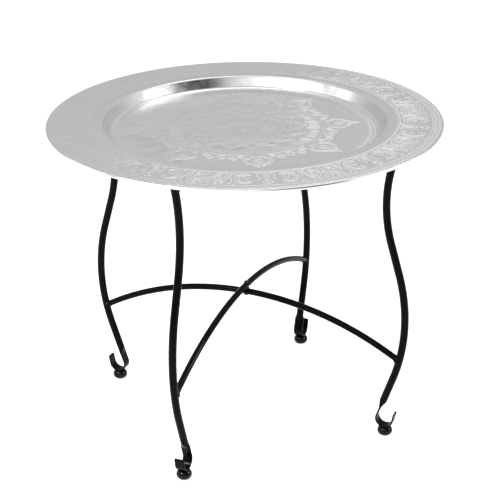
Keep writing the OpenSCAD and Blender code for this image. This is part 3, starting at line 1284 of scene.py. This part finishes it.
def floor_chasing(half_angle: float) -> Chasing:
    """Draws the floor's star: pointed petals, dotted lobes, fans, a laced star and a rosette.

    Args:
        half_angle: half the angle in degrees after which the star repeats.

    Returns:
        The marks of half a sector.
    """
    art = Chasing(half_angle, lambda p: p)
    _chase_petal(art)
    # Dotted lobes between two petals
    for radius, angle, reach in ((131, half_angle, 7.2), (135, 15.2, 6.2), (127.5, 10.6, 4.6)):
        spot = polar(radius, angle)
        art.loop(oval(spot, reach, reach))
        art.loop(oval(spot, reach - 2.2, reach - 2.2), Tool.FINE_LINER)
        art.dot(spot)
    art.loop([polar(119.4, mix(6, 24, i / 18)) for i in range(19)])
    art.dots([polar(122, mix(6.5, 22.5, i / 16)) for i in range(17)], 3.1, Tool.FINE_PUNCH)
    # Fans of parallel strokes
    for k in range(5):
        side = 2.2 + 4.1 * k
        art.line(flowing([(99.5 - 1.6 * k, side * 0.82), (108, side * 0.98 + 0.6),
                          (116.4 - 0.8 * k, side + 2.4)]))
    for k in range(4):
        lean = half_angle - 1.3 - 2.3 * k
        art.line(flowing([polar(100, lean - 0.3), polar(107, lean), polar(114.5, lean - 1.1)]))
    # Two laced zigzags that make a star of sixteen points
    for outer, inner in ((96, 72), (89, 65)):
        art.loop(_across(polar(outer, 0), polar(inner, half_angle)))
        art.loop(_across(polar(inner, 0), polar(outer, half_angle)))
    art.dot(polar(82, half_angle / 2))
    art.circle(60)
    art.circle(57.4, Tool.FINE_LINER)
    for k in range(4):
        art.dot(polar(53.6, half_angle * (k + 0.5) / 4))
    art.circle(50, Tool.FINE_LINER)
    # Rosette
    for turn in (0, half_angle):
        mirror = 1 if turn == 0 else -1
        petal = [(47, 0), (43, 4.1), (36.5, 6.9), (29, 6.7), (22, 4.3)]
        art.loop([_turn(p, turn, mirror) for p in flowing(petal)])
        art.line([_turn((27, 0), turn, 1), _turn((39, 0), turn, 1)], Tool.FINE_LINER)
    art.circle(18)
    art.circle(15.4, Tool.FINE_LINER)
    art.dot(polar(11.4, half_angle / 2))
    art.circle(7.6, Tool.FINE_LINER)
    art.circle(3.4, Tool.FINE_LINER)
    # Rings at the floor's outer edge
    art.ticks(187.6, 194.4, 16)
    art.circle(197.4)
    return art


def _turn(spot: Point, degrees: float, mirror: int) -> Point:
    """Returns a flat point mirrored across +X if asked and turned about the centre."""
    c, s = math.cos(math.radians(degrees)), math.sin(math.radians(degrees))
    x, y = spot[0], spot[1] * mirror
    return (x * c - y * s, x * s + y * c)


def _across(start: Point, end: Point) -> Path:
    """Returns a straight line in short steps, the first and last of them beyond its ends."""
    steps = 16
    parts = [t / steps for t in range(-1, steps + 2)]
    return [(mix(start[0], end[0], part), mix(start[1], end[1], part)) for part in parts]


def _chase_petal(art: Chasing) -> None:
    """Chases half of one pointed petal: its double edge, stippled border, eye and collar.

    Args:
        art: the marks to add to.
    """
    edge = flowing([(178.5, 0), (172.5, 1.9), (166.5, 5.3), (161, 10.4), (155.5, 16), (149.5, 20.2),
                    (142.5, 22), (136.2, 20), (131.4, 15.6), (128.4, 10)])
    inner = flowing([(168, 0), (163, 3.4), (157.8, 8), (152.8, 12.4), (147.6, 15.8), (142.3, 16.8),
                     (137.6, 15.4), (134.2, 12), (132.2, 8)])
    art.line(edge)
    art.line(inner)
    for part in (0.3, 0.68):
        count = 24
        rows = [(_at(edge, i / count), _at(inner, i / count)) for i in range(count + 1)]
        art.dots([(mix(a[0], b[0], part), mix(a[1], b[1], part)) for a, b in rows], 2.3, Tool.FINE_PUNCH)
    eye = (146, 0.0)
    art.loop(oval(eye, 7.8, 6.0))
    art.dots(oval(eye, 10.6, 8.7, 0, 180), 2.9, Tool.FINE_PUNCH)
    art.loop(oval(eye, 3.4, 2.7), Tool.FINE_LINER)
    art.dot(eye)
    art.line([(163.4, 0), (159.4, 3.8)], Tool.FINE_LINER)
    art.line([(160, 0), (156.6, 3.2)], Tool.FINE_LINER)
    art.line(flowing([(130.6, 0), (129.8, 4.6), (127, 9)]))
    art.line(flowing([(127.2, 0), (126.3, 4.8), (123.4, 9.8)]), Tool.FINE_LINER)


def _at(path: Path, part: float) -> Point:
    """Returns the point this part of the way along a path."""
    line = np.array(path)
    reach = np.concatenate([[0], np.cumsum(np.linalg.norm(np.diff(line, axis=0), axis=1))])
    spot = part * reach[-1]
    return (float(np.interp(spot, reach, line[:, 0])), float(np.interp(spot, reach, line[:, 1])))


@dataclass
class ChasedPanel:
    """Half a sector of flat sheet, cut up along its grooves, in millimetres."""

    art: Chasing
    inner_r: float
    outer_r: float
    arc_step: float
    slope: float = 0.42
    # How far in a tapered line reaches its full width, and the share of it that its ends start with
    taper: float = 2.0
    tip_share: float = 0.15
    punch_sides: int = 7
    corners: list[Point] = field(default_factory=list)
    edges: list[tuple[int, int]] = field(default_factory=list)
    grooves: list[tuple[float, ...]] = field(default_factory=list)

    def _chain(self, path: Sequence[Point], closed: bool = False) -> None:
        """Adds a chain of edges that the sheet is cut along."""
        start, count = len(self.corners), len(path)
        self.corners.extend(path)
        self.edges.extend((start + i, start + i + 1) for i in range(count - 1))
        if closed:
            self.edges.append((start + count - 1, start))

    def _add_border(self) -> None:
        """Adds the half sector's own outline."""
        steps = round(self.art.half_angle / self.arc_step)
        angles = [self.arc_step * i for i in range(steps + 1)]
        border = [polar(self.outer_r, a) for a in angles]
        if self.inner_r > 0:
            border += [polar(self.inner_r, a) for a in reversed(angles)]
        else:
            border.append((0.0, 0.0))
        self._chain(border, closed=True)

    def _add_stroke(self, path: Path, half_width: float, tapered: bool) -> None:
        """Adds a groove: its two edges and its bottom line.

        Args:
            path: the line of its bottom.
            half_width: half its width.
            tapered: whether its two ends run out to nothing.
        """
        line = np.array(path)
        steps = np.linalg.norm(np.diff(line, axis=0), axis=1)
        reach = np.concatenate([[0], np.cumsum(steps)])
        if tapered:
            spots = sorted({*reach, *(x for x in (self.taper, reach[-1] - self.taper) if 0 < x < reach[-1])})
            line = np.stack([np.interp(spots, reach, line[:, i]) for i in (0, 1)], axis=1)
            reach = np.array(spots)
        ways = np.gradient(line, axis=0)
        ways /= np.linalg.norm(ways, axis=1)[:, None]
        normals = np.stack([-ways[:, 1], ways[:, 0]], axis=1)
        widths = np.full(len(line), half_width)
        if tapered:
            run = np.minimum(reach, reach[-1] - reach)
            widths = half_width * np.clip(run / self.taper, self.tip_share, 1)
        for offset in (-1, 0, 1):
            self._chain([(float(x), float(y)) for x, y in line + offset * normals * widths[:, None]])
        for i in range(len(line) - 1):
            self.grooves.append((*line[i], *line[i + 1], widths[i], widths[i + 1]))

    def _add_punch(self, spot: Point, half_width: float) -> None:
        """Adds a round dimple."""
        turns = [math.tau * i / self.punch_sides for i in range(self.punch_sides)]
        ring = [(spot[0] + half_width * math.cos(t), spot[1] + half_width * math.sin(t)) for t in turns]
        self._chain(ring, closed=True)
        self.corners.append(spot)
        self.grooves.append((*spot, *spot, half_width, half_width))

    def _depths(self, spots: np.ndarray) -> np.ndarray:
        """Returns how deep the sheet is cut at each point."""
        cuts = np.array(self.grooves)
        depths = np.zeros(len(spots))
        for start in range(0, len(spots), BLOCK):
            block = spots[start:start + BLOCK, None, :]
            a, b = cuts[None, :, 0:2], cuts[None, :, 2:4]
            run = b - a
            length = np.maximum((run ** 2).sum(-1), 1e-12)
            part = np.clip(((block - a) * run).sum(-1) / length, 0, 1)
            away = np.linalg.norm(block - a - part[..., None] * run, axis=-1)
            width = cuts[None, :, 4] + (cuts[None, :, 5] - cuts[None, :, 4]) * part
            depths[start:start + BLOCK] = (self.slope * np.maximum(width - away, 0)).max(1)
        return depths

    def cut(self) -> tuple[np.ndarray, np.ndarray, np.ndarray]:
        """Cuts the half sector up.

        Returns:
            Its corners with their depths, its triangles, and whether each triangle lies in a groove.
        """
        self._add_border()
        for path, half_width, tapered in self.art.strokes:
            self._add_stroke(path, half_width, tapered)
        for spot, half_width in self.art.punches:
            self._add_punch(spot, half_width)
        result = delaunay_2d_cdt([Vector(c) for c in self.corners], self.edges, [], 0, 1e-4, False)
        spots = np.array([tuple(v) for v in result[0]])
        triangles = np.array(result[2])
        middles = spots[triangles].mean(1)
        radius = np.linalg.norm(middles, axis=1)
        angle = np.degrees(np.arctan2(middles[:, 1], middles[:, 0]))
        # The borders are chords, which lie a little inside their circles
        off_middle = angle % self.arc_step - self.arc_step / 2
        bow = math.cos(math.radians(self.arc_step / 2)) / np.cos(np.radians(off_middle))
        keep = (angle > 0) & (angle < self.art.half_angle)
        keep &= (radius < self.outer_r * bow) & (radius > self.inner_r * bow)
        triangles, middles = triangles[keep], middles[keep]
        in_groove = self._depths(middles) > 1e-6
        depths = self._depths(spots)
        return np.column_stack([spots, -depths]), triangles, in_groove


# The tray


@dataclass(frozen=True)
class ChasedTray:
    """The tray: a flat floor, a sloping wall, a flat rim and an edge rolled over a wire."""

    floor_r: float = 201.0
    well_depth: float = 17.0
    wall_angle: float = 58.0
    floor_bend: float = 6.0
    lip_bend: float = 4.0
    sheet_t: float = 1.0
    wire_d: float = 3.0
    roll_end: float = -170.0
    sides: int = TRAY_SIDES
    border_r: float = 235.0
    rim_sectors: int = 10
    floor_sectors: int = 8
    # How far round, in sides, the first axis of each pattern stands
    rim_phase: int = 11
    floor_phase: int = 28
    # The lines deepen across the tray from the worn side, as shares of its radius, and out from the
    # middle, in millimetres
    fade: tuple[float, float] = (-0.5, 0.35)
    rubbed: tuple[float, float] = (30.0, 135.0)
    worn_depth: float = 0.3
    rubbed_depth: float = 0.35

    @property
    def height(self) -> float:
        """The height of the rim's upper face in millimetres."""
        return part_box("tray")[1].z / MM

    @property
    def outer_r(self) -> float:
        """The tray's outside radius in millimetres."""
        return size_of("tray").x / 2 / MM

    @property
    def lip_r(self) -> float:
        """The radius at which the rim's flat starts."""
        angle = math.radians(self.wall_angle)
        bends = self.floor_bend + self.lip_bend
        wall = (self.well_depth - bends * (1 - math.cos(angle))) / math.sin(angle)
        return self.floor_r + bends * math.sin(angle) + wall * math.cos(angle)

    @property
    def roll_r(self) -> float:
        """The outside radius of the rolled edge."""
        return self.wire_d / 2 + self.sheet_t

    def _arc(self, centre: Point, radius: float, start: float, end: float, count: int) -> Path:
        """Returns points of an arc in the tray's section."""
        return [
            (centre[0] + radius * math.cos(math.radians(mix(start, end, i / count))),
             centre[1] + radius * math.sin(math.radians(mix(start, end, i / count))))
            for i in range(count + 1)
        ]

    def _profiles(self) -> tuple[Path, Path]:
        """Draws the tray's section, apart from the flat faces that are chased.

        Returns:
            The wall's upper face, and everything from the rim's edge round underneath to the centre.
        """
        top, wall = self.height, self.wall_angle
        floor_z = top - self.well_depth
        floor_c = (self.floor_r, floor_z + self.floor_bend)
        lip_c = (self.lip_r, top - self.lip_bend)
        roll_c = (self.outer_r - self.roll_r, top - self.roll_r)
        upper = self._arc(floor_c, self.floor_bend, -90, -90 + wall, 8)
        upper += self._arc(lip_c, self.lip_bend, 90 + wall, 90, 8)
        under = self._arc(roll_c, self.roll_r, 90, self.roll_end, 26)
        under += self._arc(roll_c, self.wire_d / 2, self.roll_end, 90, 18)
        under += self._arc(lip_c, self.lip_bend - self.sheet_t, 90, 90 + wall, 5)
        under += self._arc(floor_c, self.floor_bend + self.sheet_t, -90 + wall, -90, 6)
        under.append((0.0, floor_z - self.sheet_t))
        return upper, under

    def _spin(self, draft: Draft, profile: Path, closed: bool) -> None:
        """Turns an open profile round the tray's axis.

        Args:
            draft: the tray's draft.
            profile: the profile's points.
            closed: whether its last point lies on the axis.
        """
        turns = [math.tau * i / self.sides for i in range(self.sides)]
        rings = [
            [Vector((radius * math.cos(turn), radius * math.sin(turn), height)) * MM for turn in turns]
            for radius, height in profile
        ]
        if closed:
            hub = rings.pop()[0]
            last = rings[-1]
            draft.add([*last, hub], [(i, (i + 1) % self.sides, self.sides) for i in range(self.sides)])
        draft.skin(rings, capped=False)

    def _depth_left(self, x: np.ndarray, y: np.ndarray) -> np.ndarray:
        """Returns how much of the lines' depth polishing has left at each point."""
        side = math.radians(ChasedCut.fresh_and_lit_side)
        reach = (x * math.cos(side) + y * math.sin(side)) / self.outer_r
        across = np.interp(reach, self.fade, (0.0, 1.0))
        outward = np.interp(np.hypot(x, y), self.rubbed, (self.rubbed_depth, 1.0))
        return self.worn_depth + (1 - self.worn_depth) * across * outward

    def _lay(self, draft: Draft, panel: ChasedPanel, sectors: int, phase: int, height: float) -> None:
        """Lays a half sector and its mirror image round the whole tray.

        Args:
            draft: the tray's draft.
            panel: the half sector.
            sectors: how many times the pattern repeats.
            phase: where its first axis stands, in sides.
            height: the height of the flat sheet.
        """
        spots, triangles, in_groove = panel.cut()
        used = np.unique(triangles)
        lookup = np.zeros(len(spots), dtype=int)
        lookup[used] = np.arange(len(used))
        spots, triangles = spots[used], lookup[triangles]
        LOG.info("half sector with %d corners and %d triangles", len(spots), len(triangles))
        finishes = in_groove.astype(int).tolist()
        for k in range(sectors):
            angle = math.tau * (phase / self.sides + k / sectors)
            c, s = math.cos(angle), math.sin(angle)
            for mirror in (1, -1):
                out, side = spots[:, 0], spots[:, 1] * mirror
                x, y = out * c - side * s, out * s + side * c
                corners = np.column_stack([x, y, height + spots[:, 2] * self._depth_left(x, y)]) * MM
                turns = triangles if mirror > 0 else triangles[:, ::-1]
                draft.add(corners.tolist(), [tuple(t) for t in turns.tolist()], finishes)

    def build(self) -> None:
        """Makes the tray and dresses the wire in its rolled edge."""
        draft = Draft()
        upper, under = self._profiles()
        self._spin(draft, upper, closed=False)
        self._spin(draft, under, closed=True)
        step = 360 / self.sides
        flat_r = self.outer_r - self.roll_r
        rim = ChasedPanel(rim_chasing(180 / self.rim_sectors, self.border_r), self.lip_r, flat_r, step)
        self._lay(draft, rim, self.rim_sectors, self.rim_phase, self.height)
        floor = ChasedPanel(floor_chasing(180 / self.floor_sectors), 0, self.floor_r, step)
        self._lay(draft, floor, self.floor_sectors, self.floor_phase, self.height - self.well_depth)
        piece = draft.build("chased_tray", [Finish.PLATE, Finish.CUT], crease=16)
        fit_piece(piece, "tray", Finish.PLATE, "tray")
        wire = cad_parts["rim_wire"]
        wire.data.materials.clear()
        wire.data.materials.append(Finish.WIRE.material())
        LOG.info("rim_wire keeps its shape and takes %s", Finish.WIRE.value[1].name)


# The studio


@dataclass(frozen=True)
class Softbox:
    """A soft rectangular light that faces the table."""

    name: str
    azimuth: float
    elevation: float
    distance: float
    size: tuple[float, float]
    glow: float

    def build(self, aim: Vector) -> None:
        """Hangs the light.

        Args:
            aim: the point that it faces.
        """
        data = bpy.data.lights.new(self.name, "AREA")
        data.shape = "RECTANGLE"
        data.size, data.size_y = self.size
        data.energy = self.glow * math.pi * self.size[0] * self.size[1]
        light = bpy.data.objects.new(self.name, data)
        away = direction(self.azimuth, self.elevation)
        light.location = aim + away * self.distance
        light.rotation_euler = away.to_track_quat("Z", "Y").to_euler()
        bpy.context.scene.collection.objects.link(light)


def direction(azimuth: float, elevation: float) -> Vector:
    """Returns the direction from the table at an azimuth from its front and an elevation."""
    a, e = math.radians(azimuth), math.radians(elevation)
    return Vector((math.sin(a) * math.cos(e), -math.cos(a) * math.cos(e), math.sin(e)))


@dataclass(frozen=True)
class Studio:
    """A pale floor, an even white room with one darker corner, soft lights and the camera."""

    view_azimuth: float = 23.96
    view_elevation: float = 24.67
    view_roll: float = 0.573
    view_distance: float = 2.2189
    lens: float = 100.45
    shift: tuple[float, float] = (0.0077, 0.0348)
    aim: tuple[float, float, float] = (0.0, 0.0, 0.25)
    floor_half: float = 9.0
    room: str = "C7C7C7"
    corner: str = "202020"
    # The room's strength near the horizon and overhead, and the heights between which it changes
    room_glow: tuple[float, float] = (0.96, 1.2)
    glow_heights: tuple[float, float] = (0.25, 0.38)
    # How far the dark corner reaches, as cosines from its middle: the soft edge, then full darkness
    corner_edge: tuple[float, float] = (0.90, 0.955)
    corner_way: tuple[float, float] = (47.0, 35.0)
    floor_glow: float = 0.66

    def build(self) -> None:
        """Sets the whole studio up."""
        scene = bpy.context.scene
        scene.view_settings.view_transform = "Standard"
        self._build_room()
        self._build_floor()
        self._build_camera()
        front = self.view_azimuth
        for box in (
            Softbox("front_left_softbox", front - 28, 40, 2.6, (3.0, 1.5), 1.9),
            Softbox("right_softbox", front + 77, 27, 2.8, (1.5, 1.3), 2.6),
            Softbox("back_softbox", front + 165, 60, 2.6, (1.6, 1.0), 1.6),
            Softbox("key_lamp", front - 55, 47, 2.0, (0.45, 0.38), 75),
            Softbox("side_lamp", front + 90, 30, 2.0, (0.3, 0.3), 70),
            Softbox("left_softbox", front - 96, 24, 2.8, (1.4, 1.4), 1.2),
        ):
            box.build(Vector(self.aim))

    def _build_room(self) -> None:
        """Makes the room's even light, with a darker corner beyond the front softbox."""
        world = bpy.data.worlds.new("white_room")
        bpy.context.scene.world = world
        world.use_nodes = True
        tree = world.node_tree
        tree.nodes.clear()
        place = add_node(tree, "ShaderNodeTexCoord").outputs["Generated"]
        round_from_view, up = self.corner_way
        corner = direction(self.view_azimuth + round_from_view, up)
        facing = add_node(
            tree, "ShaderNodeVectorMath", {"operation": "DOT_PRODUCT"}, {0: place, 1: corner},
        ).outputs["Value"]
        edge, full = self.corner_edge
        part = add_node(
            tree, "ShaderNodeMapRange", {"interpolation_type": "SMOOTHSTEP"},
            {"Value": facing, "From Min": edge, "From Max": full},
        ).outputs["Result"]
        colour = add_node(
            tree, "ShaderNodeMix", {"data_type": "RGBA"},
            {0: part, 6: linear(self.room), 7: linear(self.corner)},
        ).outputs[2]
        low, high = self.room_glow
        bottom, top = self.glow_heights
        height = add_node(tree, "ShaderNodeSeparateXYZ", None, {"Vector": place}).outputs["Z"]
        strength = add_node(
            tree, "ShaderNodeMapRange", {"interpolation_type": "SMOOTHSTEP"},
            {"Value": height, "From Min": bottom, "From Max": top, "To Min": low, "To Max": high},
        ).outputs["Result"]
        light = add_node(tree, "ShaderNodeBackground", None, {"Color": colour, "Strength": strength})
        add_node(tree, "ShaderNodeOutputWorld", None, {"Surface": light.outputs[0]})

    def _build_floor(self) -> None:
        """Lays the pale floor."""
        half = self.floor_half
        corners = [(-half, -half, 0), (half, -half, 0), (half, half, 0), (-half, half, 0)]
        mesh = bpy.data.meshes.new("floor")
        mesh.from_pydata(corners, [], [(0, 1, 2, 3)])
        floor = bpy.data.objects.new("floor", mesh)
        bpy.context.scene.collection.objects.link(floor)
        # Matt paper lit from beneath as well: it stays white to its far edge and its shadows are soft
        paper = Coating(
            "matt_white_paper", "BEBEBE", "BBBBBB", (0.85, 0.95), peel_mm=3.0, peel_height=0.00002,
            patch_mm=400.0, level=0.1)
        material = paper.build()
        shader = next(n for n in material.node_tree.nodes if n.type == "BSDF_PRINCIPLED")
        shader.inputs["Emission Color"].default_value = linear("FFFFFF")
        shader.inputs["Emission Strength"].default_value = self.floor_glow
        mesh.materials.append(material)

    def _build_camera(self) -> None:
        """Sets the camera up."""
        data = bpy.data.cameras.new("camera")
        data.lens = self.lens
        data.shift_x, data.shift_y = self.shift
        camera = bpy.data.objects.new("camera", data)
        back = direction(self.view_azimuth, self.view_elevation)
        spin = back.to_track_quat("Z", "Y").to_matrix().to_4x4() @ turned(-self.view_roll)
        camera.matrix_world = Matrix.Translation(Vector(self.aim) + back * self.view_distance) @ spin
        bpy.context.scene.collection.objects.link(camera)
        bpy.context.scene.camera = camera


def main() -> None:
    """Builds the whole table and its studio."""
    logging.basicConfig(level=logging.INFO, format="%(name)s %(relativeCreated)d ms: %(message)s")
    random.seed(SEED)
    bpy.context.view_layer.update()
    for side in Side:
        CurledLeg(side).build()
        BunFoot(side).build()
        LegPlug(side).build()
    for tier in Tier:
        CrossTubes(tier).build()
    for node in ("stretcher", "top_bar"):
        Pivot(node).build()
    ChasedTray().build()
    Studio().build()


if __name__ == "__main__":
    main()
